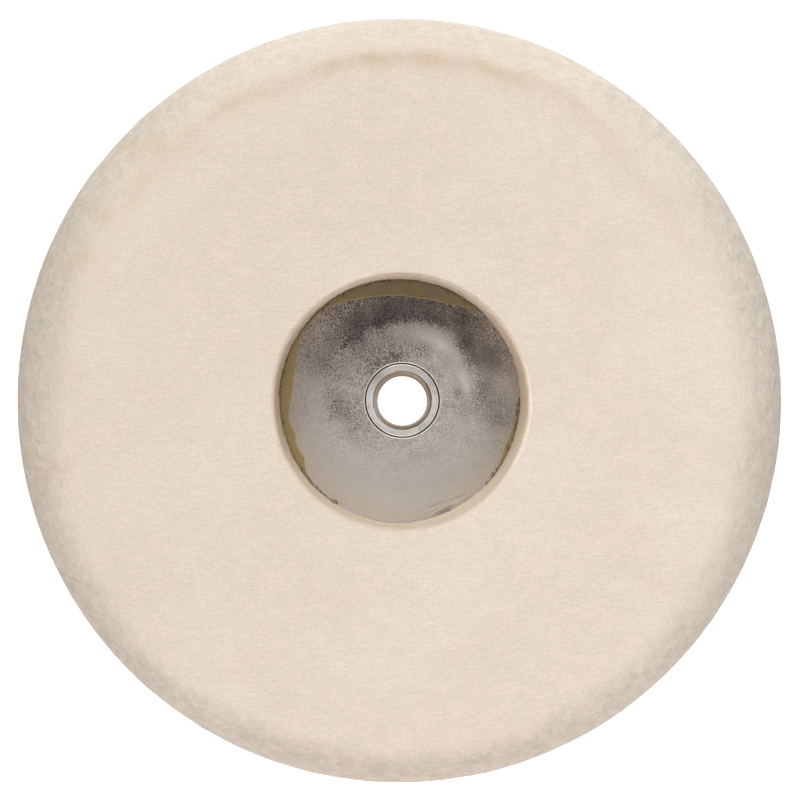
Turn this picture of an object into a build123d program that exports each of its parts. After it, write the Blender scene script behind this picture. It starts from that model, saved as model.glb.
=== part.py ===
"""A felt polishing wheel: a ring of pressed wool felt glued to a steel plate with a welded M14 bush.

The origin is on the spin axis, in the plane of the bush's rear end. +Z points out of the working face.
All sizes are in millimetres.
"""

import os

from build123d import *

# Felt body
wheel_diameter = 180.0
felt_thickness = 20.0
recess_diameter = 58.0
front_edge_radius = 12.8
back_edge_radius = 2.5
recess_lip_radius = 1.0

# Backing plate, with a low crown in the middle that the pressing tool leaves
plate_diameter = 125.0
plate_thickness = 2.0
plate_edge_radius = 0.5
plate_hole_diameter = 17.8
plate_hole_chamfer = 0.4
crown_height = 0.6
crown_top_radius = 17.0
crown_foot_radius = 26.0

# Adhesive between the felt and the plate, squeezed out a little way into the recess
adhesive_thickness = 0.3
squeeze_out_width = 1.5

# Threaded bush: a spigot in the plate's hole and a thicker hub behind it
hub_diameter = 28.0
hub_length = 13.0
hub_edge_chamfer = 0.8
hub_across_flats = 24.0
hub_flat_length = 7.5
spigot_diameter = 17.2
spigot_edge_chamfer = 0.25
spigot_proud = 0.1
# M14 x 2 internal thread, held as its smallest diameter, with a countersink at each end
thread_minor_diameter = 12.0
countersink_diameter = 14.2
countersink_depth = 0.9

# Weld between the hub and the plate
weld_leg = 2.4

# Heights along the spin axis, from the bush's rear end
crown_back_z = hub_length
plate_back_z = crown_back_z - crown_height
plate_front_z = plate_back_z + plate_thickness
crown_front_z = crown_back_z + plate_thickness
felt_back_z = plate_front_z + adhesive_thickness
felt_front_z = felt_back_z + felt_thickness
bush_front_z = crown_front_z + spigot_proud

# Radii that the profiles share
wheel_radius = wheel_diameter / 2
recess_radius = recess_diameter / 2
plate_radius = plate_diameter / 2
plate_hole_radius = plate_hole_diameter / 2
hub_radius = hub_diameter / 2
minor_radius = thread_minor_diameter / 2
countersink_radius = countersink_diameter / 2

os.makedirs("parts", exist_ok=True)

# A ring of felt. The working edge is a wide quarter round, and the recess has a small soft lip.
with BuildPart() as felt_body:
    with BuildSketch(Plane.XZ):
        with Locations((recess_radius, felt_back_z)):
            Rectangle(wheel_radius - recess_radius, felt_thickness, align=(Align.MIN, Align.MIN))
    revolve(axis=Axis.Z)
    rims = felt_body.edges().filter_by(GeomType.CIRCLE)
    front_rims = rims.group_by(Axis.Z)[-1].sort_by(SortBy.RADIUS)
    back_rims = rims.group_by(Axis.Z)[0].sort_by(SortBy.RADIUS)
    fillet(front_rims[-1], radius=front_edge_radius)
    fillet(front_rims[0], radius=recess_lip_radius)
    fillet(back_rims[-1], radius=back_edge_radius)

# A pressed steel disc of even thickness. An S-shaped step lifts its middle by the crown's height.
with BuildPart() as backing_plate:
    with BuildSketch(Plane.XZ):
        with BuildLine():
            rim_back = Line((plate_radius, plate_back_z), (crown_foot_radius, plate_back_z))
            step_back = Spline(rim_back @ 1, (crown_top_radius, crown_back_z), tangents=[(-1, 0), (-1, 0)])
            crown_back = Line(step_back @ 1, (plate_hole_radius, crown_back_z))
            hole_wall = Line(crown_back @ 1, (plate_hole_radius, crown_front_z))
            crown_front = Line(hole_wall @ 1, (crown_top_radius, crown_front_z))
            step_front = Spline(crown_front @ 1, (crown_foot_radius, plate_front_z), tangents=[(1, 0), (1, 0)])
            rim_front = Line(step_front @ 1, (plate_radius, plate_front_z))
            Line(rim_front @ 1, rim_back @ 0)
        make_face()
    revolve(axis=Axis.Z)
    rims = backing_plate.edges().filter_by(GeomType.CIRCLE)
    chamfer(rims.group_by(Axis.Z)[-1].sort_by(SortBy.RADIUS)[0], length=plate_hole_chamfer)
    rims = backing_plate.edges().filter_by(GeomType.CIRCLE)
    fillet(rims.sort_by(SortBy.RADIUS)[-2:], radius=plate_edge_radius)

# A turned bush. The hub bears on the back of the plate, and two flats take a spanner.
with BuildPart() as threaded_bush:
    with BuildSketch(Plane.XY):
        Circle(hub_radius)
    extrude(amount=hub_length)
    chamfer(threaded_bush.faces().sort_by(Axis.Z)[0].edges(), length=hub_edge_chamfer)
    with BuildSketch(Plane.XY.offset(hub_length)):
        Circle(spigot_diameter / 2)
    extrude(amount=bush_front_z - hub_length)
    chamfer(threaded_bush.faces().sort_by(Axis.Z)[-1].edges(), length=spigot_edge_chamfer)
    with BuildSketch(Plane.XY):
        Rectangle(2 * hub_diameter, 2 * hub_diameter)
        Rectangle(2 * hub_diameter, hub_across_flats, mode=Mode.SUBTRACT)
    extrude(amount=hub_flat_length, mode=Mode.SUBTRACT)
    with BuildSketch(Plane.XZ):
        with BuildLine():
            Polyline(
                (0, 0),
                (countersink_radius, 0),
                (minor_radius, countersink_depth),
                (minor_radius, bush_front_z - countersink_depth),
                (countersink_radius, bush_front_z),
                (0, bush_front_z),
                close=True,
            )
        make_face()
    revolve(axis=Axis.Z, mode=Mode.SUBTRACT)

# The glue line between the felt and the plate, from inside the recess to the plate's edge.
with BuildPart() as adhesive_layer:
    with BuildSketch(Plane.XY.offset(plate_front_z)):
        Circle(plate_radius - plate_edge_radius)
        Circle(recess_radius - squeeze_out_width, mode=Mode.SUBTRACT)
    extrude(amount=adhesive_thickness)

# A fillet weld in the corner between the hub and the plate's back, with a slightly domed face.
with BuildPart() as weld_bead:
    with BuildSketch(Plane.XZ):
        with BuildLine():
            corner = (hub_radius, crown_back_z)
            toe_on_plate = (hub_radius + weld_leg, crown_back_z)
            toe_on_hub = (hub_radius, crown_back_z - weld_leg)
            Line(corner, toe_on_plate)
            SagittaArc(toe_on_plate, toe_on_hub, weld_leg / 8)
            Line(toe_on_hub, corner)
        make_face()
    revolve(axis=Axis.Z)

felt_body.part.label = "felt_body"
backing_plate.part.label = "backing_plate"
threaded_bush.part.label = "threaded_bush"
adhesive_layer.part.label = "adhesive_layer"
weld_bead.part.label = "weld_bead"

export_step(felt_body.part, "parts/felt_body.step")
export_step(backing_plate.part, "parts/backing_plate.step")
export_step(threaded_bush.part, "parts/threaded_bush.step")
export_step(adhesive_layer.part, "parts/adhesive_layer.step")
export_step(weld_bead.part, "parts/weld_bead.step")
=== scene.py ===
"""The looks of a felt polishing wheel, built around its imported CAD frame.

The frame is in metres, with the spin axis on Z and the working face up. Shapes below are worked out in
millimetres and turned into metres when a mesh is made.
"""

import math
import random

import bmesh
import bpy
import numpy as np
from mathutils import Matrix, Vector, noise


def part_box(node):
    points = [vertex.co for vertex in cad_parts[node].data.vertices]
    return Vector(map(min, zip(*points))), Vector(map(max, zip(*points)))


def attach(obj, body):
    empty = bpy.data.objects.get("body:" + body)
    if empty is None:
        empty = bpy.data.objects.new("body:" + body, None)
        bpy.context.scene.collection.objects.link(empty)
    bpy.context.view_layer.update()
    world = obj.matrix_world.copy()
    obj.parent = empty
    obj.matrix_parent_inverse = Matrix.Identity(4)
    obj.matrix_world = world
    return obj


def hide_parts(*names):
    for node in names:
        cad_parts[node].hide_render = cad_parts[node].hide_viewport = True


MM = 0.001
TURN = 2 * math.pi

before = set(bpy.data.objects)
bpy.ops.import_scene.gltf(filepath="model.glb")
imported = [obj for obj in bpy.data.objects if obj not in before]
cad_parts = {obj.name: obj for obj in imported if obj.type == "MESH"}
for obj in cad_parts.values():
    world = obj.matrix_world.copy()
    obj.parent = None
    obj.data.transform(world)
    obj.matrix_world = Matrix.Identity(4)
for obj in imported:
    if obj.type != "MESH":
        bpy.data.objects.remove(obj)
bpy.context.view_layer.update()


def box_in_mm(node):
    """The lowest and highest corners of a CAD node's box, in millimetres."""
    return [[c / MM for c in corner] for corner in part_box(node)]


FELT_LOW, FELT_HIGH = box_in_mm("felt_body")
PLATE_LOW, PLATE_HIGH = box_in_mm("backing_plate")
BUSH_HIGH = box_in_mm("threaded_bush")[1]
GLUE_HIGH = box_in_mm("adhesive_layer")[1]
WELD_HIGH = box_in_mm("weld_bead")[1]

# Felt body
WHEEL_RADIUS = FELT_HIGH[0]
FACE_Z = FELT_HIGH[2]
FELT_BACK_Z = FELT_LOW[2]
RECESS_RADIUS = 29.0
LIP_RADIUS = 1.0
# The lip has worn to a larger radius, and its slope eases only to this angle where it meets the face
WORN_LIP_RADIUS = 2.3 * LIP_RADIUS
LIP_EASE = math.radians(32)
EDGE_WIDTH = 11.0
EDGE_HEIGHT = 12.8
# 1 gives a quarter of an ellipse, and less gives a squarer edge
EDGE_ROUNDNESS = 0.92
BACK_EDGE_RADIUS = 2.5
# The felt was glued on a little off the bush's centre, towards -X
FELT_OFF_CENTRE = -0.7

# Plate, with its low crown around the bush
PLATE_RADIUS = PLATE_HIGH[0]
PLATE_THICKNESS = 2.0
PLATE_FRONT_Z = PLATE_LOW[2] + PLATE_THICKNESS
CROWN_HEIGHT = PLATE_HIGH[2] - PLATE_FRONT_Z
CROWN_FOOT_RADIUS = 26.0
PLATE_HOLE_RADIUS = 8.9
BURR_WIDTH = 0.28
PLATE_EDGE_RADIUS = 0.5

# Adhesive film where it is bare, in the recess
FILM_THICKNESS = 0.07
FILM_EDGE_WIDTH = 0.5

# Bush and its M14 x 2 thread
HUB_RADIUS = BUSH_HIGH[0]
HUB_LENGTH = 13.0
HUB_FLAT = BUSH_HIGH[1]
SPIGOT_RADIUS = 8.6
BUSH_FRONT_Z = BUSH_HIGH[2]
THREAD_PITCH = 2.0
THREAD_MINOR_RADIUS = 6.0
THREAD_MAJOR_RADIUS = 7.08
# The tap ran in a little askew: how far the thread's rear end lies towards -Y
THREAD_LEAN = 0.2
COUNTERSINK_RADIUS = 7.1


# Camera -------------------------------------------------------------

CAMERA_HEIGHT = 800.0
CAMERA_OFF_AXIS = (-0.55, -0.15)
WHEEL_SHARE_OF_PICTURE = 0.9512
SENSOR_WIDTH = 36.0


def make_camera():
    """Straight above the working face, so far up that the wheel fills its share of the picture."""
    camera = bpy.data.objects.new("camera", bpy.data.cameras.new("camera"))
    bpy.context.scene.collection.objects.link(camera)
    camera.location = Vector((*CAMERA_OFF_AXIS, FACE_Z + CAMERA_HEIGHT)) * MM
    to_widest_point = CAMERA_HEIGHT + EDGE_HEIGHT
    camera.data.sensor_width = SENSOR_WIDTH
    camera.data.lens = SENSOR_WIDTH * WHEEL_SHARE_OF_PICTURE * to_widest_point / (2 * WHEEL_RADIUS)
    camera.data.clip_start = 0.05
    camera.data.clip_end = 20.0
    bpy.context.scene.camera = camera


make_camera()


# Node graphs --------------------------------------------------------

class Graph:
    """A node tree filled by short calls, each given numbers, colours or other nodes' outputs."""

    def __init__(self, tree):
        self.tree = tree
        tree.nodes.clear()

    def add(self, kind, inputs=None, **settings):
        node = self.tree.nodes.new(kind)
        for name, value in settings.items():
            setattr(node, name, value)
        for socket, value in (inputs or {}).items():
            if isinstance(value, bpy.types.NodeSocket):
                self.tree.links.new(value, node.inputs[socket])
            else:
                node.inputs[socket].default_value = value
        return node

    def place(self, turn=0.0):
        """The point on the piece, in millimetres, turned about the spin axis."""
        point = self.add("ShaderNodeTexCoord").outputs["Object"]
        point = self.vector("MULTIPLY", point, (1 / MM,) * 3)
        if turn:
            point = self.add("ShaderNodeVectorRotate", {"Vector": point, "Angle": turn}).outputs[0]
        return point

    def vector(self, operation, a, b):
        return self.add("ShaderNodeVectorMath", {0: a, 1: b}, operation=operation).outputs[0]

    def math(self, operation, a, b=0.0, clamp=False):
        return self.add("ShaderNodeMath", {0: a, 1: b}, operation=operation, use_clamp=clamp).outputs[0]

    def noise(self, point, size, detail=3.0, roughness=0.55, shift=0.0):
        """Smooth noise from 0 to 1 whose patches measure size, in millimetres along X, Y and Z."""
        scaled = self.vector("DIVIDE", point, size)
        scaled = self.vector("ADD", scaled, (shift, 2 * shift, 3 * shift))
        inputs = {"Vector": scaled, "Scale": 1.0, "Detail": detail, "Roughness": roughness}
        return self.add("ShaderNodeTexNoise", inputs).outputs[0]

    def between(self, value, low, high, to_low=0.0, to_high=1.0):
        """value's place between low and high, eased and kept within the new limits."""
        inputs = {"Value": value, "From Min": low, "From Max": high, "To Min": to_low, "To Max": to_high}
        return self.add("ShaderNodeMapRange", inputs, interpolation_type="SMOOTHSTEP").outputs[0]

    def mix(self, factor, a, b, blend="MIX"):
        inputs = {0: factor, 6: a, 7: b}
        return self.add("ShaderNodeMix", inputs, data_type="RGBA", blend_type=blend).outputs[2]

    def shade(self, colour, factor):
        """The colour made lighter or darker by a factor near 1."""
        grey = self.add("ShaderNodeCombineColor", {0: factor, 1: factor, 2: factor}).outputs[0]
        return self.mix(1.0, colour, grey, "MULTIPLY")

    def attribute(self, name):
        return self.add("ShaderNodeAttribute", attribute_name=name).outputs["Fac"]

    def bump(self, height, depth, normal=None):
        """A relief of this depth in millimetres where height goes from 0 to 1."""
        inputs = {"Height": height, "Strength": 1.0, "Distance": depth * MM}
        if normal is not None:
            inputs["Normal"] = normal
        return self.add("ShaderNodeBump", inputs).outputs[0]

    def surface(self, **inputs):
        """The Principled shader, with its inputs named as in Blender but with _ for a space."""
        named = {name.replace("_", " "): value for name, value in inputs.items()}
        shader = self.add("ShaderNodeBsdfPrincipled", named)
        self.add("ShaderNodeOutputMaterial", {"Surface": shader.outputs[0]})


def new_material(name):
    material = bpy.data.materials.new(name)
    material.use_nodes = True
    return material, Graph(material.node_tree)


# Materials ----------------------------------------------------------

def felt_grain(g, point):
    """The noises that the wool's colour and its relief share."""
    wander = g.math("SUBTRACT", g.noise(point, (22, 22, 22), detail=2.0, shift=3.1), 0.5)
    drift = g.add("ShaderNodeCombineXYZ", {1: g.math("MULTIPLY", wander, 5.0), 2: wander}).outputs[0]
    wavy = g.vector("ADD", point, drift)
    tilted = g.add("ShaderNodeVectorRotate", {"Vector": wavy, "Angle": math.radians(-4)}).outputs[0]
    along_face = g.noise(tilted, (2.2, 0.42, 2.0), detail=3.0, roughness=0.65)
    along_rim = g.noise(wavy, (0.55, 2.4, 1.2), detail=3.0, roughness=0.6, shift=17.3)
    return {
        "wavy": wavy,
        "tilted": tilted,
        "fibres": g.mix(g.attribute("upright"), along_face, along_rim),
        "layers": g.noise(wavy, (3.6, 3.6, 0.55), detail=4.0, roughness=0.65, shift=7.7),
        "speckle": g.noise(point, (0.62, 0.45, 0.5), detail=3.0, roughness=0.7, shift=1.9),
        "clumps": g.noise(wavy, (5.0, 3.4, 3.0), detail=3.0, shift=5.3),
        "rough": g.noise(point, (1.5, 1.5, 1.0), detail=4.0, roughness=0.65, shift=14.2),
    }


def wool_tone(g, point, grain):
    """The wool's own cream, in clumps and clouds, a little darker towards the upper left."""
    clumped = g.between(grain["clumps"], 0.35, 0.65)
    colour = g.mix(clumped, (0.560, 0.491, 0.415, 1), (0.586, 0.508, 0.431, 1))
    clouds = g.noise(point, (34, 30, 30), detail=2.0, shift=9.1)
    colour = g.mix(g.between(clouds, 0.4, 0.65, 0.0, 0.7), colour, (0.592, 0.524, 0.454, 1))
    across = g.add("ShaderNodeVectorMath", {0: point, 1: (0.7, -0.7, 0.0)}, operation="DOT_PRODUCT")
    across = g.between(across.outputs["Value"], -70, 70)
    # Darker towards the upper left and lighter towards the lower right
    diagonal_tone = g.mix(across, (0.962, 0.964, 0.958, 1), (1.012, 1.018, 1.028, 1))
    colour = g.mix(1.0, colour, diagonal_tone, "MULTIPLY")
    colour = g.shade(colour, g.between(grain["fibres"], 0.25, 0.75, 0.945, 1.05))
    colour = g.shade(colour, g.between(grain["speckle"], 0.25, 0.75, 0.925, 1.065))
    layered = g.mix(0.5, grain["layers"], grain["rough"])
    on_side = g.shade(colour, g.between(layered, 0.3, 0.7, 0.92, 1.08))
    matted = g.noise(point, (2.8, 2.8, 2.8), detail=2.0, shift=24.6)
    on_side = g.shade(on_side, g.between(matted, 0.3, 0.7, 0.945, 1.055))
    return g.mix(g.attribute("edge"), colour, on_side)


def add_flecks(g, colour, grain):
    """Tan and grey hairs among the cream ones."""
    tan = g.noise(grain["tilted"], (1.7, 0.55, 0.7), detail=2.0, shift=12.4)
    tan_on_rim = g.noise(grain["wavy"], (0.6, 2.2, 0.8), detail=2.0, shift=19.4)
    tan = g.between(g.mix(g.attribute("upright"), tan, tan_on_rim), 0.58, 0.72)
    colour = g.mix(g.math("MULTIPLY", tan, 0.5), colour, (0.62, 0.465, 0.33, 1))
    grey = g.noise(grain["tilted"], (1.8, 0.55, 0.7), detail=2.0, shift=21.8)
    grey = g.between(grey, 0.62, 0.76)
    return g.mix(g.math("MULTIPLY", grey, 0.4), colour, (0.44, 0.40, 0.355, 1))


def add_marks_of_use(g, colour, grain):
    """Painted shade on the rim, painted light and shade on the cut wall of the recess, scorched wool, and
    wool soaked in adhesive.
    """
    untinted = (1, 1, 1, 1)
    # Painted shade on the rim, darkest at the left and right
    rim_shade = g.mix(g.attribute("rim_shade"), untinted, (0.80, 0.805, 0.80, 1))
    colour = g.mix(1.0, colour, rim_shade, "MULTIPLY")
    # Painted light and shade on the recess's cut wall: brightened at the sides, darkened and warmed at the
    # top
    wall_light_share = g.mix(g.attribute("wall_light_share"), (0.88, 0.82, 0.77, 1), (1.50, 1.43, 1.345, 1))
    cut = g.mix(g.attribute("cut"), untinted, wall_light_share)
    colour = g.mix(1.0, colour, cut, "MULTIPLY")
    stain = g.math("MULTIPLY", g.attribute("stain"), g.between(grain["rough"], 0.3, 0.6, 0.4, 1.0))
    colour = g.mix(stain, colour, (0.50, 0.35, 0.22, 1))
    soaked = g.math("MULTIPLY", g.attribute("soaked"), g.between(grain["speckle"], 0.35, 0.55))
    return g.mix(soaked, colour, (0.22, 0.155, 0.06, 1))


def wool_felt():
    """Cream wool: fibres along X on the face, and pressed layers that show as lines round the edge."""
    material, g = new_material("wool_felt")
    point = g.place()
    grain = felt_grain(g, point)
    colour = wool_tone(g, point, grain)
    colour = add_flecks(g, colour, grain)
    colour = add_marks_of_use(g, colour, grain)
    edge = g.attribute("edge")
    relief = g.bump(grain["fibres"], 0.06)
    relief = g.bump(grain["speckle"], 0.08, relief)
    relief = g.bump(grain["clumps"], 0.12, relief)
    relief = g.bump(g.math("MULTIPLY", grain["layers"], edge), 0.16, relief)
    relief = g.bump(g.math("MULTIPLY", grain["rough"], edge), 0.5, relief)
    g.surface(Base_Color=colour, Roughness=0.95, Specular_IOR_Level=0.08, Normal=relief)
    return material


def loose_fibre():
    """Single wool fibres, a little lighter and shinier than the felt they stand on."""
    material, g = new_material("loose_fibre")
    tone = g.noise(g.place(), (5, 5, 5), detail=2.0)
    colour = g.mix(g.between(tone, 0.35, 0.65), (0.72, 0.66, 0.58, 1), (0.60, 0.50, 0.38, 1))
    g.surface(Base_Color=colour, Roughness=0.7, Specular_IOR_Level=0.3, Sheen_Weight=0.2)
    return material


def blasted_steel():
    """Grit-blasted steel with a dark, uneven bloom of oxide that has settled in the pits, and painted
    shade, painted highlights and painted light from the plate's attributes.
    """
    material, g = new_material("blasted_steel")
    point = g.place()
    grit = g.noise(point, (0.27, 0.27, 0.27), detail=1.0, roughness=0.5)
    patches = g.noise(point, (1.9, 1.9, 1.9), detail=2.0, shift=5.9)
    clouds = g.noise(point, (5, 5, 5), detail=3.0, shift=8.2)
    brushed = g.noise(point, (0.4, 5.0, 1.0), detail=2.0, shift=4.6)
    bloom = g.math("ADD", g.attribute("oxide_and_shading"), g.between(clouds, 0.3, 0.7, -0.07, 0.07))
    bloom = g.math("ADD", bloom, g.between(brushed, 0.3, 0.7, -0.03, 0.03))
    bloom = g.math("ADD", bloom, g.between(patches, 0.3, 0.7, -0.04, 0.04))
    # The grit's contrast is strongest where the bloom is half dark
    contrast = g.between(bloom, 0.25, 0.6, 0.56, 1.0)
    contrast = g.math("MULTIPLY", contrast, g.between(bloom, 0.6, 0.85, 1.0, 0.5))
    pitted = g.math("MULTIPLY", g.between(grit, 0.2, 0.8, -0.6, 0.6), contrast)
    oxide_and_shading = g.math("ADD", bloom, pitted)
    oxide_and_shading = g.math("MINIMUM", g.math("MAXIMUM", oxide_and_shading, 0.0), 1.0)
    warm = g.between(g.noise(point, (14, 14, 14), detail=2.0, shift=2.7), 0.35, 0.65)
    bare = g.mix(warm, (0.515, 0.470, 0.428, 1), (0.495, 0.460, 0.43, 1))
    colour = g.mix(oxide_and_shading, bare, (0.058, 0.051, 0.047, 1))
    # Brown haze of adhesive, and painted shade in the gap round the bush
    haze_and_gap_shade = g.mix(g.attribute("haze_and_gap_shade"), (1, 1, 1, 1), (1.06, 0.95, 0.80, 1))
    colour = g.mix(1.0, colour, haze_and_gap_shade, "MULTIPLY")
    # Bright metal on the burr, painted highlights on the arc and painted light towards the bottom
    colour = g.mix(g.attribute("rubbed_and_highlit"), colour, (0.78, 0.74, 0.70, 1))
    along_stroke = g.place(turn=math.radians(-24))
    stroke = g.noise(along_stroke, (6.0, 0.5, 1.0), detail=1.0, shift=3.9)
    stroke = g.math("MULTIPLY", g.between(stroke, 0.48, 0.66), g.attribute("wiped"))
    colour = g.mix(stroke, colour, (0.17, 0.15, 0.135, 1))
    relief = g.bump(grit, 0.065)
    g.surface(Base_Color=colour, Metallic=0.8, Roughness=0.55, Normal=relief)
    return material


def turned_steel():
    """Turned steel with fine rings left by the tool, brown with dried oil in the thread, and painted shade,
    painted highlights and a painted sheen from the bush's attributes.
    """
    material, g = new_material("turned_steel")
    point = g.place()
    flat = g.vector("MULTIPLY", point, (1, 1, 0))
    radius = g.add("ShaderNodeVectorMath", {0: flat}, operation="LENGTH").outputs["Value"]
    outward = g.math("MULTIPLY", radius, 3.6)
    outward = g.add("ShaderNodeCombineXYZ", {0: outward, 1: 0.0, 2: 0.0}).outputs[0]
    rings = g.add("ShaderNodeTexNoise", {"Vector": outward, "Scale": 1.0, "Detail": 2.0}).outputs[0]
    stains = g.noise(point, (1.8, 1.8, 1.8), detail=3.0, shift=6.1)
    colour = g.mix(g.between(stains, 0.5, 0.7), (0.87, 0.845, 0.835, 1), (0.74, 0.70, 0.63, 1))
    colour = g.shade(colour, g.between(rings, 0.3, 0.7, 0.66, 1.10))
    # A painted yellow sheen at the top and bottom of the ring face
    colour = g.mix(g.attribute("yellow_sheen"), colour, (0.86, 0.84, 0.68, 1))
    # Painted shade in streaks on the ring face, and the dull hub behind the plate
    colour = g.mix(g.attribute("dull_and_shade"), colour, (0.34, 0.335, 0.33, 1))
    # Dried oil in the bore, with painted shade round it and painted highlights along the crests' edges
    oil_and_shade = g.attribute("oil_and_shade")
    colour = g.mix(oil_and_shade, colour, (0.21, 0.135, 0.073, 1))
    # Painted shade in the gap round the spigot; darker just inside the mouth and low on the thread's flanks
    colour = g.mix(g.attribute("darkened"), colour, (0.045, 0.026, 0.015, 1))
    relief = g.bump(rings, 0.014)
    metallic = g.between(oil_and_shade, 0.0, 1.0, 0.62, 0.0)
    roughness = g.between(oil_and_shade, 0.0, 1.0, 0.36, 0.6)
    g.surface(Base_Color=colour, Metallic=metallic, Roughness=roughness, Normal=relief)
    return material


def dried_adhesive():
    """Yellow-brown contact adhesive: greyish where the film is thin, darker where wool has soaked it up."""
    material, g = new_material("dried_adhesive")
    point = g.place()
    cloud = g.noise(point, (2.8, 2.8, 2.8), detail=3.0)
    fine = g.noise(point, (0.45, 0.45, 0.45), detail=2.0, shift=3.3)
    rim = g.attribute("rim")
    glue_lightness = g.attribute("glue_lightness")
    clouded = g.between(cloud, 0.35, 0.65)
    colour = g.mix(clouded, (0.235, 0.175, 0.075, 1), (0.20, 0.158, 0.095, 1))
    thin = g.math("MULTIPLY", g.between(cloud, 0.45, 0.6), g.math("SUBTRACT", 1.0, rim))
    colour = g.mix(g.math("MULTIPLY", thin, 0.75), colour, (0.185, 0.158, 0.125, 1))
    colour = g.mix(g.math("MULTIPLY", rim, 0.7), colour, (0.225, 0.155, 0.048, 1))
    # Lighter at the left and lower right, darker elsewhere
    colour = g.mix(glue_lightness, g.shade(colour, 0.82), (0.40, 0.30, 0.13, 1))
    wet = g.math("MULTIPLY", g.attribute("wet"), g.between(fine, 0.35, 0.6, 0.35, 1.0))
    wet_colour = g.mix(glue_lightness, (0.050, 0.034, 0.014, 1), (0.20, 0.135, 0.042, 1))
    colour = g.mix(wet, colour, wet_colour)
    colour = g.shade(colour, g.between(fine, 0.3, 0.7, 0.88, 1.12))
    relief = g.bump(cloud, 0.06)
    relief = g.bump(fine, 0.03, relief)
    g.surface(Base_Color=colour, Roughness=0.42, Coat_Weight=0.25, Coat_Roughness=0.3, Normal=relief)
    return material


def weld_metal():
    """Weld metal, dull grey with a straw and blue heat tint along its toes."""
    material, g = new_material("weld_metal")
    point = g.place()
    tint = g.noise(point, (4, 4, 1.2), detail=2.0)
    colour = g.mix(g.between(tint, 0.35, 0.5), (0.30, 0.31, 0.35, 1), (0.36, 0.30, 0.22, 1))
    colour = g.mix(g.between(tint, 0.5, 0.65), colour, (0.36, 0.345, 0.33, 1))
    relief = g.bump(g.noise(point, (0.5, 0.5, 0.5), detail=3.0, shift=2.2), 0.05)
    g.surface(Base_Color=colour, Metallic=0.9, Roughness=0.42, Normal=relief)
    return material


# Meshes -------------------------------------------------------------

def angles_around(count):
    return np.arange(count) * TURN / count


def smooth_noise(points, size, seed):
    """Noise from -1 to 1 at each point, with patches of this size in millimetres."""
    offset = Vector((seed * 17.3, seed * 5.1, seed * 9.7))
    flat = points.reshape(-1, 3) / size
    values = [noise.noise(Vector(p) + offset) for p in flat]
    return np.array(values).reshape(points.shape[:-1])


def hump(x, centre, width):
    """A bell-shaped bump of height 1."""
    return np.exp(-(((x - centre) / width) ** 2))


def angle_from(theta, degrees):
    """How far each angle is from the given one, in degrees, the short way round."""
    return np.abs((np.degrees(theta) - degrees + 180) % 360 - 180)


def smooth_step(x, low, high):
    t = np.clip((x - low) / (high - low), 0, 1)
    return t * t * (3 - 2 * t)


def ring_quads(rows, columns, closed=True, seam_shift=0):
    """Faces of a grid of points that closes around the axis, and along its profile too if closed.

    seam_shift is how many rows a helical grid climbs in one turn.
    """
    quads = []
    last = rows if closed else rows - 1
    for i in range(last):
        for j in range(columns):
            k = (j + 1) % columns
            shift = seam_shift if k == 0 else 0
            a, b = i + shift, i + 1 + shift
            if not closed and b >= rows:
                continue
            near = (i * columns + j, (i + 1) % rows * columns + j)
            far = (b % rows * columns + k, a % rows * columns + k)
            quads.append(near + far)
    return quads


def add_piece(name, points, quads, material, attributes=None, sharp=None):
    """A Blender object from points in millimetres. attributes are values from 0 to 1 at each point."""
    mesh = bpy.data.meshes.new(name)
    mesh.from_pydata((points.reshape(-1, 3) * MM).tolist(), [], quads)
    for key, values in (attributes or {}).items():
        layer = mesh.attributes.new(key, "FLOAT", "POINT")
        values = np.broadcast_to(values, points.shape[:-1])
        layer.data.foreach_set("value", values.ravel().astype(np.float32))
    shape = bmesh.new()
    shape.from_mesh(mesh)
    bmesh.ops.remove_doubles(shape, verts=shape.verts, dist=0.002 * MM)
    bmesh.ops.recalc_face_normals(shape, faces=shape.faces)
    shape.to_mesh(mesh)
    shape.free()
    mesh.shade_smooth()
    if sharp is not None:
        mesh.set_sharp_from_angle(angle=math.radians(sharp))
    mesh.materials.append(material)
    piece = bpy.data.objects.new(name, mesh)
    bpy.context.scene.collection.objects.link(piece)
    return piece


def around_axis(radius, height, theta, off_centre=0.0):
    """Points from radii and heights, one column for each angle."""
    radius, height, theta = np.broadcast_arrays(radius, height, theta)
    return np.stack([off_centre + radius * np.cos(theta), radius * np.sin(theta), height], axis=-1)


def grid_normals(points):
    """Outward normals of a grid that closes both ways, from its neighbours' places."""
    along = np.roll(points, -1, axis=0) - np.roll(points, 1, axis=0)
    around = np.roll(points, -1, axis=1) - np.roll(points, 1, axis=1)
    normals = np.cross(along, around)
    return normals / np.maximum(np.linalg.norm(normals, axis=-1, keepdims=True), 1e-9)


# Felt body ----------------------------------------------------------

FELT_COLUMNS = 620


def edge_start(theta):
    """Radius at which the flat face rolls over into the edge, which is uneven all round."""
    start = WHEEL_RADIUS - EDGE_WIDTH + 0.35 * np.sin(5 * theta + 2.0) + 0.25 * np.sin(8 * theta + 0.4)
    start += 0.2 * np.sin(13 * theta)
    start -= 2.4 * hump(angle_from(theta, 172), 0, 30)
    start += 0.9 * hump(angle_from(theta, 229), 0, 16)
    start -= 2.2 * hump(angle_from(theta, 4), 0, 32)
    return start + 0.6 * hump(angle_from(theta, 275), 0, 35)


def recess_foot(theta):
    """Radius of the recess at the plate. The hole in the felt is a little narrower along X."""
    return RECESS_RADIUS - 0.42 * np.cos(theta) ** 2


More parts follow.
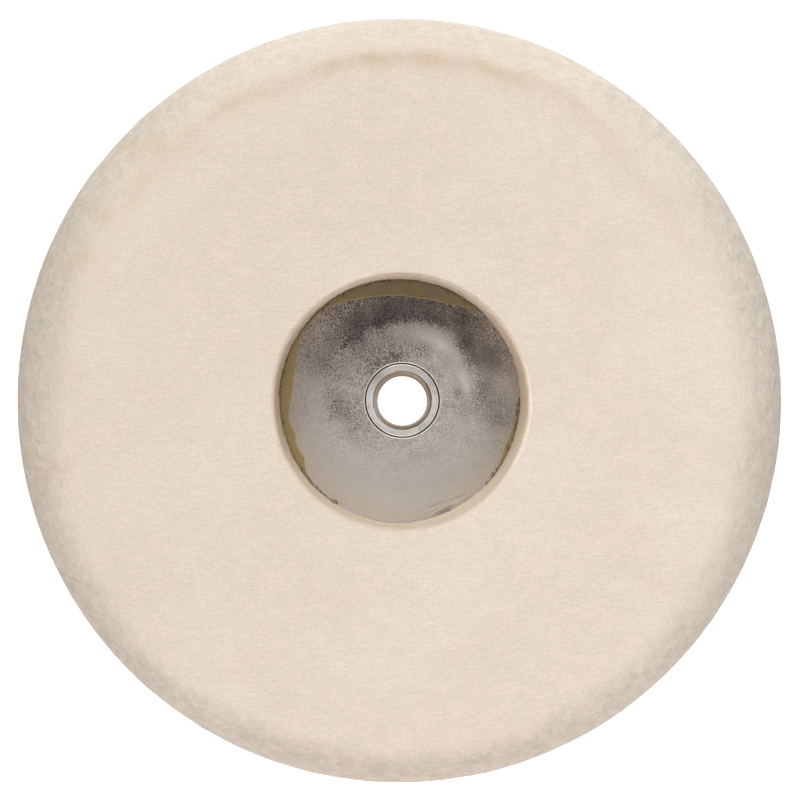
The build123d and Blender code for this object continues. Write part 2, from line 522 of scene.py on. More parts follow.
def recess_rows(foot, mouth):
    """Up the recess's wall and over its worn lip."""
    worn = WORN_LIP_RADIUS
    lip_width, lip_height = worn * (1 - math.sin(LIP_EASE)), worn * math.cos(LIP_EASE)
    lip_foot = mouth - lip_width
    lip_z = FACE_Z - lip_height
    rows = []
    for t in np.linspace(0, 1, 20, endpoint=False):
        rows.append((foot + (lip_foot - foot) * t, FELT_BACK_Z + t * (lip_z - FELT_BACK_Z), 0.3))
    for t in np.linspace(0, 1, 8):
        a = math.pi / 2 + t * (LIP_EASE - math.pi / 2)
        rows.append((lip_foot + worn * (1 - math.sin(a)), lip_z + worn * math.cos(a), 0.3 * (1 - t)))
    return rows


def edge_rows(start):
    """Over the rolled edge, down the side and round the back's corner."""
    rows = []
    for t in np.linspace(0, 1, 30, endpoint=False):
        a = t * math.pi / 2
        across = math.sin(a) ** EDGE_ROUNDNESS
        down = 1 - math.cos(a) ** EDGE_ROUNDNESS
        edge = min(1.0, 2.5 * t)
        rows.append((start + across * (WHEEL_RADIUS - start), FACE_Z - down * EDGE_HEIGHT, edge))
    side_foot = FELT_BACK_Z + BACK_EDGE_RADIUS
    for t in np.linspace(0, 1, 7, endpoint=False):
        rows.append((WHEEL_RADIUS, FACE_Z - EDGE_HEIGHT + t * (side_foot - FACE_Z + EDGE_HEIGHT), 1.0))
    for t in np.linspace(0, 1, 6, endpoint=False):
        a = t * math.pi / 2
        inset = BACK_EDGE_RADIUS * (1 - math.cos(a))
        rows.append((WHEEL_RADIUS - inset, side_foot - BACK_EDGE_RADIUS * math.sin(a), 1 - t))
    return rows


def felt_profile(theta):
    """Radius, height and edge share of each row, from the foot of the recess round to the back."""
    start = edge_start(theta)
    foot = recess_foot(theta) + 0.1 * np.sin(3 * theta + 0.5) + 0.06 * np.sin(7 * theta)
    mouth = RECESS_RADIUS + LIP_RADIUS + 0.1 * np.sin(2 * theta + 2.2) + 0.08 * np.sin(5 * theta + 1.0)
    # The hole was cut a little askew, so that the wall slopes more at the lower right
    mouth += 0.47 + 0.68 * np.cos(theta - math.radians(300))
    rows = recess_rows(foot, mouth)
    # Two close rows keep the lip's shading off the flat face
    rows += [(mouth + 0.08, FACE_Z, 0.0), (mouth + 0.25, FACE_Z, 0.0)]
    for t in np.linspace(0, 1, 58, endpoint=False):
        rows.append((mouth + 0.5 + t * (start - mouth - 0.5), FACE_Z, 0.0))
    rows += edge_rows(start)
    back_rim = WHEEL_RADIUS - BACK_EDGE_RADIUS
    for t in np.linspace(0, 1, 24, endpoint=False):
        rows.append((back_rim + t * (foot - back_rim), FELT_BACK_Z, 0.0))
    return [np.stack([np.broadcast_to(row[k], theta.shape) for row in rows]) for k in range(3)]


def torn_line(points, theta):
    """Radius of the ragged line beside the rolled edge where the felt is torn."""
    ragged = edge_start(theta) - 0.2
    ragged += 1.7 * hump(angle_from(theta, 82), 0, 30) - 1.2 * hump(angle_from(theta, 45), 0, 14)
    return ragged + 1.4 * smooth_noise(points, 9.0, 5) + 0.8 * smooth_noise(points, 3.0, 6)


def felt_relief(points, theta, radius, height, edge, ragged):
    """How far the wool stands out: a dip and a low ridge along the torn line, and lumps all over."""
    torn = hump(angle_from(theta, 80), 0, 36) + 0.5 * hump(angle_from(theta, 330), 0, 14)
    torn += 0.4 * hump(angle_from(theta, 140), 0, 18) + 0.45 * hump(angle_from(theta, 36), 0, 14)
    dip = smooth_step(radius, 60, ragged - 3.4) * (1 - smooth_step(radius, ragged - 3.4, ragged + 1.2))
    ridge = hump(radius, ragged + 1.8, 1.8)
    relief = front_share(height) * ((0.10 + 0.26 * torn) * ridge - (0.05 + 0.36 * torn) * dip)
    shoulder = edge * smooth_step(height, FACE_Z - 11, FACE_Z - 5)
    relief += (0.03 + 0.03 * edge) * smooth_noise(points, 11.0, 1)
    relief += (0.03 + 0.02 * edge + 0.24 * shoulder) * smooth_noise(points, 3.0, 2)
    return relief + (0.015 + 0.03 * edge + 0.10 * shoulder) * smooth_noise(points, 1.5, 3)


def front_share(height):
    """1 on the face, falling to 0 some millimetres below it."""
    return smooth_step(height, FACE_Z - 6, FACE_Z - 1)


def frayed_foot(points, height):
    """Relief of the frayed wool at the foot of the recess's wall."""
    at_foot = 1 - smooth_step(height, FELT_BACK_Z + 1.0, FELT_BACK_Z + 4.0)
    return at_foot * (0.22 * smooth_noise(points, 1.3, 7) + 0.14 * smooth_noise(points, 0.6, 9))


def felt_stain(points, theta, radius, height, ragged):
    """Wool scorched along the torn line, tan patches on the upper left, and a mark low on the rim."""
    share = 0.1 + 0.8 * hump(angle_from(theta, 84), 0, 30) + 0.3 * hump(angle_from(theta, 135), 0, 22)
    patches = np.clip(0.6 + 0.7 * smooth_noise(points, 9.0, 4), 0, 1.3)
    stain = 0.75 * front_share(height) * share * patches * hump(radius, ragged - 0.8, 2.4)
    start = edge_start(theta)
    blotches = np.clip(1.8 * smooth_noise(points, 6.0, 10), 0, 1)
    blotches = blotches * smooth_step(radius, start - 2, start + 2)
    stain += 0.42 * blotches * hump(angle_from(theta, 155), 0, 42)
    low_mark = hump(angle_from(theta, 268), 0, 4) * hump(height, FACE_Z - 11, 4) * (radius > 85)
    return np.clip(stain + 0.5 * low_mark, 0, 1)


def felt_rim_shade(points, theta, radius):
    """Painted shade on the rim: darkest at the left and right, a little at the bottom, none at the top."""
    rim_shade_share = 0.13 + 0.62 * hump(angle_from(theta, 166), 0, 32) + 0.66 * hump(angle_from(theta, 3), 0, 32)
    rim_shade_share += 0.15 * hump(angle_from(theta, 265), 0, 40) - 0.2 * hump(angle_from(theta, 90), 0, 45)
    start = edge_start(theta)
    on_rim = smooth_step(radius + 1.2 * smooth_noise(points, 7.0, 8), start - 1.0, start + 6)
    return np.clip(rim_shade_share, 0, 1) * on_rim


def make_felt():
    theta = angles_around(FELT_COLUMNS)
    radius, height, edge = felt_profile(theta)
    points = around_axis(radius, height, theta, FELT_OFF_CENTRE)
    ragged = torn_line(points, theta)
    in_recess = radius < RECESS_RADIUS + 2.8
    relief = felt_relief(points, theta, radius, height, edge, ragged)
    relief += in_recess * frayed_foot(points, height)
    touches_plate = (height < FELT_BACK_Z + 0.01) & (radius < PLATE_RADIUS + 4)
    relief = np.where(touches_plate & ~in_recess, 0.0, relief)
    points = points + grid_normals(points) * relief[..., None]
    points[..., 2] = np.where(touches_plate, FELT_BACK_Z, np.maximum(points[..., 2], FELT_BACK_Z))

    # Painted light and shade on the cut wall of the recess: lightest at the right, darkest at the top
    wall_light_share = 0.31 + 0.2 * np.cos(2 * theta) + 0.1 * np.cos(theta) - 0.07 * np.sin(theta)
    wall_light_share += 0.30 * hump(angle_from(theta, 2), 0, 24)
    start = edge_start(theta)
    near_plate = 1 - smooth_step(height, FELT_BACK_Z + 0.8, FELT_BACK_Z + 2.2)
    attributes = {
        "edge": edge * (1 - 0.5 * hump(angle_from(theta, 92), 0, 34)),
        "stain": felt_stain(points, theta, radius, height, ragged),
        "cut": in_recess * (1 - smooth_step(height, FACE_Z - 0.25, FACE_Z - 0.05)),
        "soaked": in_recess * (glue_reach(theta) > -0.2) * near_plate,
        "rim_shade": felt_rim_shade(points, theta, radius),
        "wall_light_share": wall_light_share,
        "upright": 0.9 * np.cos(theta) ** 2 * smooth_step(radius, start - 3, start + 3),
    }
    return add_piece("felt_wheel", points, ring_quads(*radius.shape), wool_felt(), attributes)


# Plate --------------------------------------------------------------

PLATE_COLUMNS = 360


def crown(radius):
    """Height of the plate's crown at a radius: the CAD's step, eased into one shallow cone."""
    top = PLATE_HOLE_RADIUS + 0.5
    cone = 1 - np.clip((radius - top) / (CROWN_FOOT_RADIUS + 2.5 - top), 0, 1)
    return CROWN_HEIGHT * (0.5 * cone + 0.5 * cone * cone * (3 - 2 * cone))


# Dark patches, oxide and painted shade: an angle in degrees, the distance from the axis, a size, and how
# much darker it is
OXIDE_AND_SHADE_PATCHES = (
    # The upper right, outside the bright arc
    (24, 22.0, 5.0, 0.38), (42, 20.5, 3.2, 0.24), (30, 25.5, 3.0, 0.12), (22, 23.0, 2.8, 0.20),
    (55, 23.6, 2.6, 0.18), (45, 18.6, 1.6, 0.22), (29, 17.9, 1.6, 0.22),
    # The top and the upper left
    (98, 21.5, 3.5, 0.14), (90, 21.0, 4.0, -0.05), (82, 20.2, 1.8, -0.09), (105, 17.8, 2.2, 0.42),
    (122, 20.5, 3.6, 0.30), (128, 17.0, 2.6, 0.12), (128, 16.0, 4.0, 0.15), (150, 16.0, 5.0, 0.16),
    (135, 21.5, 2.5, 0.12), (158, 22.0, 3.6, 0.20), (165, 18.0, 5.0, 0.08),
    # Close round the bush
    (118, 11.0, 3.6, 0.34), (90, 11.5, 2.5, 0.12), (97, 10.0, 1.6, 0.15), (70, 13.3, 1.8, 0.26),
    (9, 13.6, 1.5, 0.30), (0, 15.0, 4.0, 0.13), (205, 11.0, 3.5, 0.16), (225, 12.0, 3.2, 0.16),
    # The left, the right and the lower right
    (182, 16.0, 2.8, 0.28), (193, 14.5, 3.5, 0.20), (212, 15.5, 2.4, 0.14), (195, 18.0, 1.8, 0.18),
    (225, 15.8, 2.0, 0.12), (0, 16.6, 2.0, 0.08),
    (353, 22.5, 3.6, 0.40), (4, 20.0, 3.0, 0.34), (345, 22.8, 2.8, 0.28), (332, 18.5, 5.5, 0.07),
    (315, 15.5, 3.0, 0.07),
)


def oxide_and_painted_light(points, theta, radius):
    """How dark the plate is painted, from about 0 to 1: oxide with painted shade in a wide band at the top
    and right, round an arc that is a painted highlight, and painted light towards the bottom.
    """
    r = radius + 0.9 * smooth_noise(points, 9.0, 11) + 0.6 * smooth_noise(points, 3.5, 12)
    turned = theta + np.radians(6.0 * smooth_noise(points, 8.0, 13))

    def spot(centre, half_width):
        return hump(angle_from(turned, centre), 0, half_width)

    # The arc of painted highlight swings outward at its middle
    arc = 16.3 + 1.0 * spot(64, 20)
    # A wide dark band at the top and right: oxide and painted shade
    bloom = 0.13 + 0.15 * spot(105, 75) + 0.60 * spot(78, 54) * smooth_step(r, arc + 0.9, arc + 3.3)
    bloom += 0.08 * hump(r, 9.5, 2.0)
    for degrees, at, size, darker in OXIDE_AND_SHADE_PATCHES:
        a = math.radians(degrees)
        away = np.hypot(r * np.cos(turned) - at * math.cos(a), r * np.sin(turned) - at * math.sin(a))
        bloom += darker * hump(away, 0, size)
    # Lighter along the arc, a painted highlight; lighter near the wall at the upper right and left and over
    # the bottom, painted light
    bloom -= 0.37 * spot(57, 38) * hump(r, arc, 1.3)
    bloom -= 0.10 * spot(30, 18) * smooth_step(r, 26.0, 28.5)
    bloom -= 0.22 * spot(202, 28) * smooth_step(r, 22.0, 26.0)
    return bloom - 0.19 * spot(272, 72) * smooth_step(r, 13.0, 21.0)


def highlight_arc(points, theta, radius):
    """Two painted highlights where the arc is brightest."""
    wisps = 0.50 * hump(angle_from(theta, 60), 0, 13) * hump(radius, 16.1, 1.3)
    wisps = wisps + 0.40 * hump(angle_from(theta, 15), 0, 11) * hump(radius, 15.6, 1.1)
    return wisps * (1 + 0.5 * smooth_noise(points, 2.0, 22))


def plate_rows():
    """Radius and height of each row: up the hole's wall, over a rolled burr, out in front, back behind."""
    hole = PLATE_HOLE_RADIUS
    back_z = PLATE_FRONT_Z - PLATE_THICKNESS
    rows = []
    for t in np.linspace(0, 1, 4):
        rows.append((hole, crown(hole) + back_z + t * (PLATE_THICKNESS - 0.15)))
    for t in np.linspace(0.15, 1, 7):
        a = t * math.pi
        burr_z = crown(hole) + PLATE_FRONT_Z - 0.15 + 0.2 * math.sin(a) + 0.14 * t
        rows.append((hole + BURR_WIDTH / 2 * (1 - math.cos(a)), burr_z))
    rows.append((hole + 0.36, crown(hole) + PLATE_FRONT_Z))
    for r in np.linspace(hole + 0.7, RECESS_RADIUS + 1, 74):
        rows.append((r, crown(r) + PLATE_FRONT_Z))
    corner = PLATE_EDGE_RADIUS
    for r in np.linspace(RECESS_RADIUS + 3, PLATE_RADIUS - corner, 14):
        rows.append((r, PLATE_FRONT_Z))
    for t in np.linspace(0.2, 1, 5):
        a = t * math.pi / 2
        rows.append((PLATE_RADIUS - corner * (1 - math.sin(a)), PLATE_FRONT_Z - corner * (1 - math.cos(a))))
    for t in np.linspace(0, 0.8, 5):
        a = t * math.pi / 2
        rows.append((PLATE_RADIUS - corner * (1 - math.cos(a)), back_z + corner * (1 - math.sin(a))))
    for r in np.linspace(PLATE_RADIUS - corner, hole + 0.5, 50):
        rows.append((r, crown(r) + back_z))
    return rows


def plate_marks(points, theta, radius, height):
    """The plate's attributes: dark oxide with painted shade, bright metal on the burr with painted
    highlights and painted light, wiped strokes, a brown haze, and painted shade in the gap round the bush.
    """
    hole = PLATE_HOLE_RADIUS
    back_z = PLATE_FRONT_Z - PLATE_THICKNESS
    in_gap = (radius < hole + 0.05) & (height < crown(hole) + PLATE_FRONT_Z - 0.1)
    # Painted shade in the gap round the bush, near black
    oxide_and_shading = np.where(in_gap, 2.0, oxide_and_painted_light(points, theta, radius))
    on_burr = (radius < hole + 0.30) * (radius > hole + 0.03) * (height > back_z + 1.5)
    # Painted light over the lower part of the plate and at the right
    painted_light = np.clip(hump(angle_from(theta, 262), 0, 62) + 0.5 * hump(angle_from(theta, 10), 0, 30), 0, 1)
    painted_light = painted_light * smooth_step(radius, 14.0, 24.0) * (radius < RECESS_RADIUS + 2)
    rubbed_and_highlit = 0.95 * on_burr + 0.40 * painted_light + highlight_arc(points, theta, radius)
    # Adhesive towards the wall, and painted shade in the gap round the bush
    haze_and_gap_shade = smooth_step(radius, 22.0, 27.0) * (0.3 + 0.6 * hump(angle_from(theta, 35), 0, 60))
    return {
        "oxide_and_shading": oxide_and_shading,
        "rubbed_and_highlit": rubbed_and_highlit,
        "wiped": 0.55 * hump(angle_from(theta, 292), 0, 11) * smooth_step(radius, 24.6, 26.6),
        "haze_and_gap_shade": haze_and_gap_shade + 1.0 * in_gap,
    }


def make_plate():
    theta = angles_around(PLATE_COLUMNS)
    rows = plate_rows()
    radius = np.array([r for r, _ in rows])[:, None] * np.ones_like(theta)
    height = np.array([z for _, z in rows])[:, None] * np.ones_like(theta)
    points = around_axis(radius, height, theta)
    seen = smooth_step(radius, 10, 13) * (1 - smooth_step(radius, 27, 29))
    points[..., 2] += 0.07 * seen * smooth_noise(points, 13.0, 21)
    marks = plate_marks(points, theta, radius, height)
    return add_piece("steel_plate", points, ring_quads(*radius.shape), blasted_steel(), marks, sharp=50)


# Bush ---------------------------------------------------------------

BUSH_COLUMNS = 360
ROWS_PER_PITCH = 16
COUNTERSINK_DEPTH = 0.9


def hub_radius_at(theta):
    """The hub's outline where its two spanner flats are cut."""
    return np.minimum(HUB_RADIUS, HUB_FLAT / np.maximum(np.abs(np.sin(theta)), 1e-6))


def bush_outside(theta):
    """Rows from the rear mouth of the thread, over the hub and the spigot, to the front mouth."""
    outline = hub_radius_at(theta)
    full = np.full_like(theta, HUB_RADIUS)
    flat_end = 7.5
    spigot = SPIGOT_RADIUS
    mouth = COUNTERSINK_RADIUS
    rows = [(mouth, 0.0)]
    rows += [(mouth + t * (outline - 0.8 - mouth), 0.0) for t in (0.1, 0.35, 0.65, 0.95, 1)]
    rows += [(outline, 0.8), (outline, 1.1), (outline, flat_end - 0.3), (outline, flat_end)]
    rows += [(full, flat_end), (full, flat_end + 0.3), (full, HUB_LENGTH - 0.3), (full, HUB_LENGTH)]
    rows += [(spigot + 0.3, HUB_LENGTH), (spigot, HUB_LENGTH), (spigot, HUB_LENGTH + 0.3)]
    rows += [(spigot, BUSH_FRONT_Z - 0.15), (spigot - 0.04, BUSH_FRONT_Z - 0.05)]
    rows += [(spigot - 0.15, BUSH_FRONT_Z)]
    rows += [(spigot - 0.2 - t * (spigot - 0.3 - mouth), BUSH_FRONT_Z) for t in (0.0, 0.3, 0.6, 0.95)]
    rows += [(mouth + 0.03, BUSH_FRONT_Z), (mouth, BUSH_FRONT_Z)]
    radius = np.stack([np.broadcast_to(r, theta.shape) for r, _ in rows])
    height = np.stack([np.full_like(theta, z) for _, z in rows])
    return radius, height


def bush_thread(theta):
    """A helical grid over the thread, from below the rear end to above the front end, cut off at both."""
    turns = int(BUSH_FRONT_Z / THREAD_PITCH) + 2
    steps = np.arange(-ROWS_PER_PITCH, turns * ROWS_PER_PITCH + 1)[:, None]
    height = THREAD_PITCH * (steps / ROWS_PER_PITCH + theta / TURN)
    phase = np.broadcast_to((steps / ROWS_PER_PITCH) % 1, height.shape)
    from_crest = np.minimum(phase, 1 - phase)
    flank = np.clip((from_crest - 1 / 8) / (7 / 16 - 1 / 8), 0, 1)
    radius = THREAD_MINOR_RADIUS + flank * (THREAD_MAJOR_RADIUS - THREAD_MINOR_RADIUS)
    height = np.clip(height, 0, BUSH_FRONT_Z)
    to_mouth = np.minimum(height, BUSH_FRONT_Z - height)
    slope = (COUNTERSINK_RADIUS - THREAD_MINOR_RADIUS) / COUNTERSINK_DEPTH
    return np.maximum(radius, COUNTERSINK_RADIUS - slope * to_mouth), height


def thread_oil_and_shade(radius, turned, from_crest):
    """Dried oil in the bore: least on the thread's upper flanks, as a painted highlight, more at the crests
    and at the mouth, with painted shade that changes round the bore, heaviest at the bottom.
    """
    oil_and_shade = 0.76 + 0.25 * hump(angle_from(turned, 270), 0, 50) + 0.2 * hump(angle_from(turned, 20), 0, 30)
    oil_and_shade += 0.12 * hump(radius, COUNTERSINK_RADIUS, 0.3) + 0.1 * hump(radius, THREAD_MINOR_RADIUS, 0.18)
    oil_and_shade += 0.2 * hump(angle_from(turned, 105), 0, 45) - 0.08 * hump(angle_from(turned, 195), 0, 35)
    oil_and_shade += 0.10 * hump(angle_from(turned, 150), 0, 20)
    oil_and_shade -= 0.24 * hump(from_crest, 0.16, 0.07)
    return np.clip(oil_and_shade, 0, 1) * (radius < COUNTERSINK_RADIUS - 0.02)


def face_shade(turned):
    """Painted shade on the ring face: where it is less bright."""
    dull_and_shade = 0.55 * hump(angle_from(turned, 136), 0, 17) + 0.3 * hump(angle_from(turned, 310), 0, 10)
    dull_and_shade += 0.30 * hump(angle_from(turned, 85), 0, 46) + 0.26 * hump(angle_from(turned, 272), 0, 36)
    return dull_and_shade + 0.30 * hump(angle_from(turned, 32), 0, 14)


def bush_marks(points):
    """The bush's attributes: oil with painted shade and painted highlights in the bore, darker spots in the
    thread, painted shade in the gap round the spigot, and a painted sheen and painted shade on the ring
    face.
    """
    radius = np.hypot(points[:, 0], points[:, 1])
    turned = np.arctan2(points[:, 1], points[:, 0])
    height = points[:, 2]
    helix = (height / THREAD_PITCH - turned / TURN) % 1
    from_crest = np.minimum(helix, 1 - helix)
    on_face = height > BUSH_FRONT_Z - 0.16
    nick = hump(angle_from(turned, 302), 0, 2.2)
    nick = nick + hump(angle_from(turned, 28), 0, 5) * hump(radius, 8.1, 0.3)
    # Darker just inside the mouth and low on the thread's flanks, and painted shade in the gap round the
    # spigot
    thread_darkening = 0.5 * hump(radius, COUNTERSINK_RADIUS - 0.12, 0.16) + 0.3 * hump(from_crest, 0.34, 0.07)
    thread_darkening = thread_darkening * ~on_face * (radius < COUNTERSINK_RADIUS + 0.01)
    on_spigot = (radius > SPIGOT_RADIUS - 0.02) & (radius < SPIGOT_RADIUS + 1) & (height > HUB_LENGTH - 0.4)
    # The hub behind the plate has lost its shine
    behind = (height < HUB_LENGTH + 0.05) & (radius > COUNTERSINK_RADIUS - 0.02)
    # A painted yellow sheen on the ring face at the top and bottom
    yellow_sheen = 0.55 * hump(angle_from(turned, 108), 0, 16) + 0.55 * hump(angle_from(turned, 284), 0, 17)
    return {
        "oil_and_shade": np.maximum(thread_oil_and_shade(radius, turned, from_crest), 0.3 * nick * on_face),
        "darkened": np.maximum(1.0 * on_spigot, thread_darkening),
        "yellow_sheen": yellow_sheen * on_face,
        "dull_and_shade": np.maximum(face_shade(turned) * on_face, 0.7 * behind),
    }


def make_bush():
    theta = angles_around(BUSH_COLUMNS)
    outside = around_axis(*bush_outside(theta), theta)
    thread = around_axis(*bush_thread(theta), theta)
    in_depth = 1 - thread[..., 2] / BUSH_FRONT_Z
    inside_mouth = smooth_step(thread[..., 2], 0.0, COUNTERSINK_DEPTH)
    thread[..., 1] -= THREAD_LEAN * in_depth * inside_mouth
    points = np.concatenate([outside.reshape(-1, 3), thread.reshape(-1, 3)])
    quads = ring_quads(*outside.shape[:2], closed=False)
    first = outside.shape[0] * outside.shape[1]
    inside = ring_quads(*thread.shape[:2], closed=False, seam_shift=ROWS_PER_PITCH)
    quads += [tuple(first + v for v in reversed(quad)) for quad in inside]
    return add_piece("turned_bush", points, quads, turned_steel(), bush_marks(points), sharp=28)


# Adhesive -----------------------------------------------------------

GLUE_COLUMNS = 720
BEAD_COLUMNS = 1100
# The adhesive's free edge: an angle in degrees, and how far it lies from the foot of the wall
GLUE_EDGE = (
    # Upper right, where it stays under the felt, and the wide film along the top
    (0, -0.2), (5, -0.6), (42, -0.6), (46, 0.3), (50, 0.9), (60, 2.6), (67, 3.5), (75, 4.1), (84, 4.3),
    (92, 4.15), (105, 3.7), (113, 3.0), (120, 2.2), (130, 1.15), (142, 0.85), (149, 1.2),
    # The left, with two runs below it
    (158, 2.45), (165, 3.15), (172, 3.4), (181, 3.1), (190, 2.2), (194, 2.5), (197.5, 3.2), (202, 2.25),
    (206, 2.4), (210, 2.6), (215, 1.4), (223, 0.5), (237, 0.35),
    # None along the bottom, and a narrow film at the lower right
    (241, -0.6), (313, -0.6), (318, 0.4), (325, 0.7), (331, 1.2), (337, 1.6), (343, 1.3), (350, 1.1),
    (357, 0.7), (360, -0.2),
)


def glue_reach(theta):
    """How far the film reaches into the recess from its wall. Below zero it stays under the felt."""
    angles, reaches = zip(*GLUE_EDGE)
    degrees = np.degrees(theta)
    # Averaged over a few degrees, so that the outline is curved
    reach = sum(np.interp((degrees + d) % 360, angles, reaches) for d in (-1.5, -0.75, 0, 0.75, 1.5)) / 5
    return reach + 0.04 * np.sin(23 * theta) + 0.03 * np.sin(41 * theta + 1) + 0.02 * np.sin(67 * theta + 2)


def wall_foot(theta):
    """Radius of the felt's wall where it meets the plate, measured from the bush's axis."""
    return recess_foot(theta) + FELT_OFF_CENTRE * np.cos(theta)


def glue_tone_by_angle(theta):
    """How light the adhesive is, from 0 to 1: lighter at the left and at the lower right."""
    return 0.9 * hump(angle_from(theta, 188), 0, 42) + 0.9 * hump(angle_from(theta, 343), 0, 30)


def film_rows(theta):
    """Radius, height and rim share of each row: in from the free edge, under the felt, and back beneath."""
    foot = wall_foot(theta)
    inner = RECESS_RADIUS + FELT_OFF_CENTRE * np.cos(theta) - glue_reach(theta)
    outer = np.full_like(theta, GLUE_HIGH[0])
    halfway = (foot + GLUE_HIGH[0]) / 2
    rows = []
    for t in np.linspace(0, 1, 7):
        a = t * math.pi / 2
        r = inner + FILM_EDGE_WIDTH * (1 - math.cos(a))
        z = PLATE_FRONT_Z + crown(r) + 0.01 + FILM_THICKNESS * math.sin(a)
        rows.append((r, z, np.ones_like(theta)))
    for t in np.linspace(0.08, 1, 14):
        r = inner + FILM_EDGE_WIDTH + t * np.maximum(foot + 0.3 - inner - FILM_EDGE_WIDTH, 0.1)
        rim = np.maximum(hump(r - inner, 0.0, 1.1), hump(foot - r, 0.0, 0.8))
        rows.append((r, PLATE_FRONT_Z + crown(r) + 0.01 + FILM_THICKNESS, rim))
    for r in (foot + 1.4, halfway, outer):
        rows.append((r, np.full_like(theta, GLUE_HIGH[2] - 0.02), np.zeros_like(theta)))
    for r in (outer, halfway, foot + 1.4):
        rows.append((r, np.full_like(theta, PLATE_FRONT_Z + 0.01), np.zeros_like(theta)))
    return [np.stack([row[k] for row in rows]) for k in range(3)]


def make_glue(material):
    """One closed film: a thin skin in the recess with a rounded edge, and the glue line under the felt."""
    theta = angles_around(GLUE_COLUMNS)
    radius, height, rim = film_rows(theta)
    points = around_axis(radius, height, theta)
    row = np.arange(len(radius))
    free_top = (row > 3) & (row < 20)
    points[..., 2] += 0.04 * free_top[:, None] * smooth_noise(points, 1.8, 31)
    wet = 0.6 * hump(radius, wall_foot(theta) + 0.1, 0.35) * (height > PLATE_FRONT_Z + 0.05)
    attributes = {"rim": rim, "wet": wet, "glue_lightness": glue_tone_by_angle(theta)}
    return add_piece("adhesive_film", points, ring_quads(*radius.shape), material, attributes)


def make_glue_fillet(material):
    """A ragged bead of glue-wet wool along the foot of the wall, where adhesive was squeezed out."""
    theta = angles_around(BEAD_COLUMNS)
    foot = wall_foot(theta)
    present = smooth_step(glue_reach(theta), -0.45, 0.1)
    spot = around_axis(foot, PLATE_FRONT_Z, theta)
    ragged = 0.45 + 0.9 * smooth_noise(spot, 0.9, 41) + 0.8 * smooth_noise(spot, 0.45, 42)
    width = present * (0.08 + 0.75 * np.clip(ragged, 0, 1.4) ** 1.2)
    rise = present * (0.35 + 1.7 * np.clip(ragged, 0, 1.3))
    base = PLATE_FRONT_Z + 0.02
    rows = [(foot + 0.25, np.full_like(theta, base))]
    for t in np.linspace(0, 1, 6):
        r = foot + 0.1 - width * (1 - t) ** 1.4 - 0.05 * math.sin(t * math.pi) * present
        rows.append((r, base + 0.12 * present + rise * t ** 1.3))
    rows.append((foot + 0.3, base + 0.15 * present + rise))
    radius = np.stack([r for r, _ in rows])
    height = np.stack([z for _, z in rows])
    points = around_axis(radius, height, theta)
    attributes = {"rim": 1.0, "wet": 1.0, "glue_lightness": glue_tone_by_angle(theta)}
    return add_piece("adhesive_bead", points, ring_quads(*radius.shape), material, attributes)


# Weld ---------------------------------------------------------------

def make_weld():
    """A fillet weld with overlapping ripples, behind the plate."""
    theta = angles_around(480)
    top = WELD_HIGH[2]
    ripple = 0.12 * np.abs(np.sin(28 * theta + 0.35 * np.sin(3 * theta)))
    wander = 0.15 * np.sin(2 * theta + 0.4) + 0.1 * np.sin(5 * theta)
    leg = WELD_HIGH[0] - HUB_RADIUS - 0.25 + wander
    rows = [(np.full_like(theta, HUB_RADIUS + 0.01), np.full_like(theta, top - 0.01))]
    for t in np.linspace(0, 1, 9):
        domed = 0.32 * math.sin(t * math.pi) + ripple * math.sin(t * math.pi)
        r = HUB_RADIUS + 0.01 + (1 - t) * leg + 0.7 * domed
        z = top - 0.01 - t * leg - 0.7 * domed
        rows.append((r, z))
    radius = np.stack([r for r, _ in rows])
    height = np.stack([z for _, z in rows])
    points = around_axis(radius, height, theta)
    return add_piece("fillet_weld", points, ring_quads(*radius.shape), weld_metal(), sharp=60)


# Loose fibres -------------------------------------------------------

FIBRE_COUNT = 3000
FIBRE_SEGMENTS = 5


def fibre_tube(start, heading, up, length, thickness, rng):
    """Points of one bent, tapered fibre with three sides, and its faces."""
    points, faces = [], []
    place, heading = start.copy(), heading.copy()
    bend = (rng.random() - 0.5) * 1.6 / FIBRE_SEGMENTS
    lift = rng.uniform(-0.25, 0.15) / FIBRE_SEGMENTS
    for i in range(FIBRE_SEGMENTS + 1):
        side = np.cross(up, heading)
        side /= max(np.linalg.norm(side), 1e-9)
        width = thickness * (1 - 0.75 * i / FIBRE_SEGMENTS)
        for corner in range(3):
            a = corner * TURN / 3
            points.append(place + width * (math.cos(a) * side + math.sin(a) * np.cross(heading, side)))
        place = place + heading * length / FIBRE_SEGMENTS
        heading = heading + bend * side + lift * up
        heading /= np.linalg.norm(heading)
    for i in range(FIBRE_SEGMENTS):
        for corner in range(3):
            after = (corner + 1) % 3
            faces.append((3 * i + corner, 3 * i + after, 3 * i + 3 + after, 3 * i + 3 + corner))
    end = 3 * FIBRE_SEGMENTS
    faces += [(2, 1, 0), (end, end + 1, end + 2)]
    return points, faces


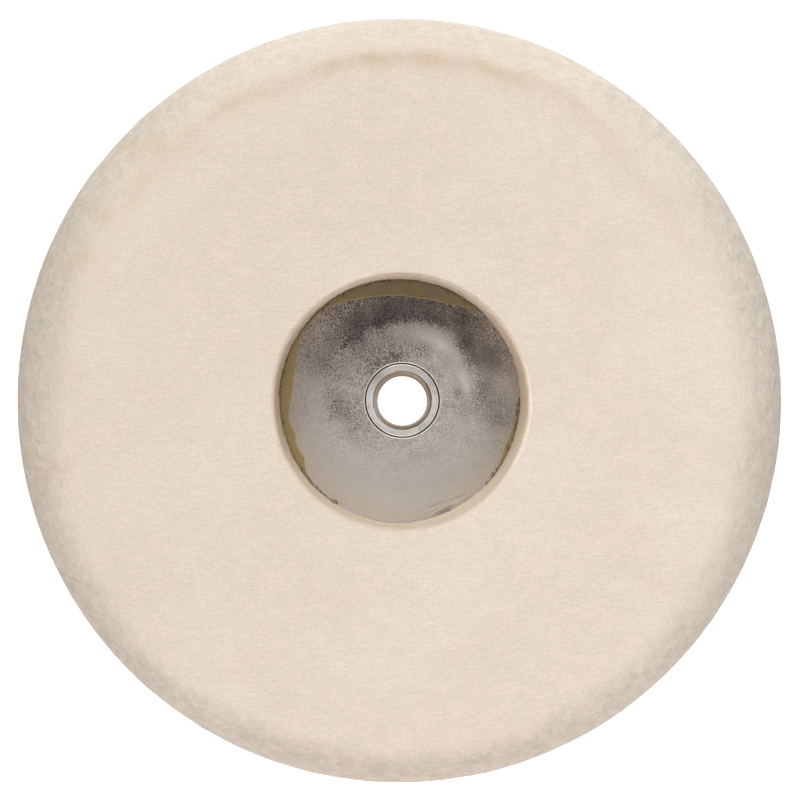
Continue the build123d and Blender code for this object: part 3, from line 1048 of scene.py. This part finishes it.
def make_fibres(felt):
    """Short wool fibres that have come loose, mostly on the rounded edge and the recess's lip."""
    rng = random.Random(5)
    mesh = felt.data
    edge = mesh.attributes["edge"].data
    chosen = []
    while len(chosen) < FIBRE_COUNT:
        vertex = mesh.vertices[rng.randrange(len(mesh.vertices))]
        low = vertex.co.z / MM < FELT_BACK_Z + 0.6
        if not low and rng.random() < 0.12 + 0.88 * edge[vertex.index].value:
            chosen.append(vertex)
    points, faces = [], []
    for vertex in chosen:
        up = np.array(vertex.normal)
        start = np.array(vertex.co) / MM - 0.05 * up
        along = rng.uniform(0, TURN)
        heading = np.array([math.cos(along), 0.6 * math.sin(along), 0.5 * math.sin(along)])
        heading -= heading.dot(up) * up
        heading = heading / np.linalg.norm(heading) + rng.uniform(0.02, 0.35) * up
        heading /= np.linalg.norm(heading)
        length, thickness = rng.uniform(0.8, 2.6), rng.uniform(0.018, 0.035)
        tube, sides = fibre_tube(start, heading, up, length, thickness, rng)
        faces += [tuple(len(points) + v for v in face) for face in sides]
        points += tube
    return add_piece("loose_fibres", np.array(points), faces, loose_fibre())


# Assembly -----------------------------------------------------------

felt_wheel = make_felt()
adhesive = dried_adhesive()
pieces = {
    "felt_body": (felt_wheel, "wool_felt"),
    "backing_plate": (make_plate(), "plate_steel"),
    "threaded_bush": (make_bush(), "turned_steel"),
    "adhesive_layer": (make_glue(adhesive), "adhesive"),
    "weld_bead": (make_weld(), "weld_metal"),
}
for node_name, (piece, slot_name) in pieces.items():
    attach(piece, "root")
    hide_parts(node_name)
fibres = make_fibres(felt_wheel)
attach(fibres, "root")
glue_bead = make_glue_fillet(adhesive)
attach(glue_bead, "root")


# Studio -------------------------------------------------------------

def make_floor():
    """A light table's white top."""
    material, g = new_material("floor")
    white = (1, 1, 1, 1)
    g.surface(Base_Color=(0.25, 0.25, 0.25, 1), Roughness=0.9, Emission_Color=white, Emission_Strength=1.0)
    size = 3.0
    corners = np.array([(-size, -size, 0), (size, -size, 0), (size, size, 0), (-size, size, 0)]) / MM
    corners[:, 2] = -0.05
    floor = add_piece("floor", corners, [(0, 1, 2, 3)], material)


def add_softbox(name, azimuth, elevation, power, colour, size=0.9, distance=1.4):
    """A square area light aimed at the wheel. Azimuth is from +X towards +Y."""
    target = Vector((0, 0, FACE_Z * MM))
    turn, rise = math.radians(azimuth), math.radians(elevation)
    way = Vector((math.cos(turn) * math.cos(rise), math.sin(turn) * math.cos(rise), math.sin(rise)))
    lamp = bpy.data.lights.new(name, "AREA")
    lamp.size = size
    lamp.energy = power
    lamp.color = colour
    light = bpy.data.objects.new(name, lamp)
    light.location = target + way * distance
    light.rotation_mode = "QUATERNION"
    light.rotation_quaternion = (-way).to_track_quat("-Z", "Y")
    light.visible_camera = False
    bpy.context.scene.collection.objects.link(light)


def make_world():
    """A pale room: light walls under a dimmer ceiling."""
    world = bpy.data.worlds.new("studio")
    world.use_nodes = True
    g = Graph(world.node_tree)
    direction = g.add("ShaderNodeTexCoord").outputs["Generated"]
    height = g.add("ShaderNodeSeparateXYZ", {0: direction}).outputs["Z"]
    wall = g.mix(g.between(height, 0.06, 0.26), (0.86, 0.86, 0.86, 1), (0.44, 0.44, 0.44, 1))
    colour = g.mix(g.between(height, 0.15, 0.6), wall, (0.22, 0.22, 0.22, 1))
    background = g.add("ShaderNodeBackground", {"Color": colour, "Strength": 1.0})
    g.add("ShaderNodeOutputWorld", {"Surface": background.outputs[0]})
    bpy.context.scene.world = world


make_floor()
make_world()
add_softbox("key", 90, 38, 20.0, (0.97, 0.99, 1.0))
add_softbox("fill", 270, 45, 12.8, (1.0, 0.95, 0.93))
add_softbox("left_fill", 185, 45, 2.5, (1.0, 0.99, 0.99))
add_softbox("right_fill", 355, 45, 3.2, (1.0, 0.99, 0.99))
bpy.context.scene.view_settings.view_transform = "Standard"
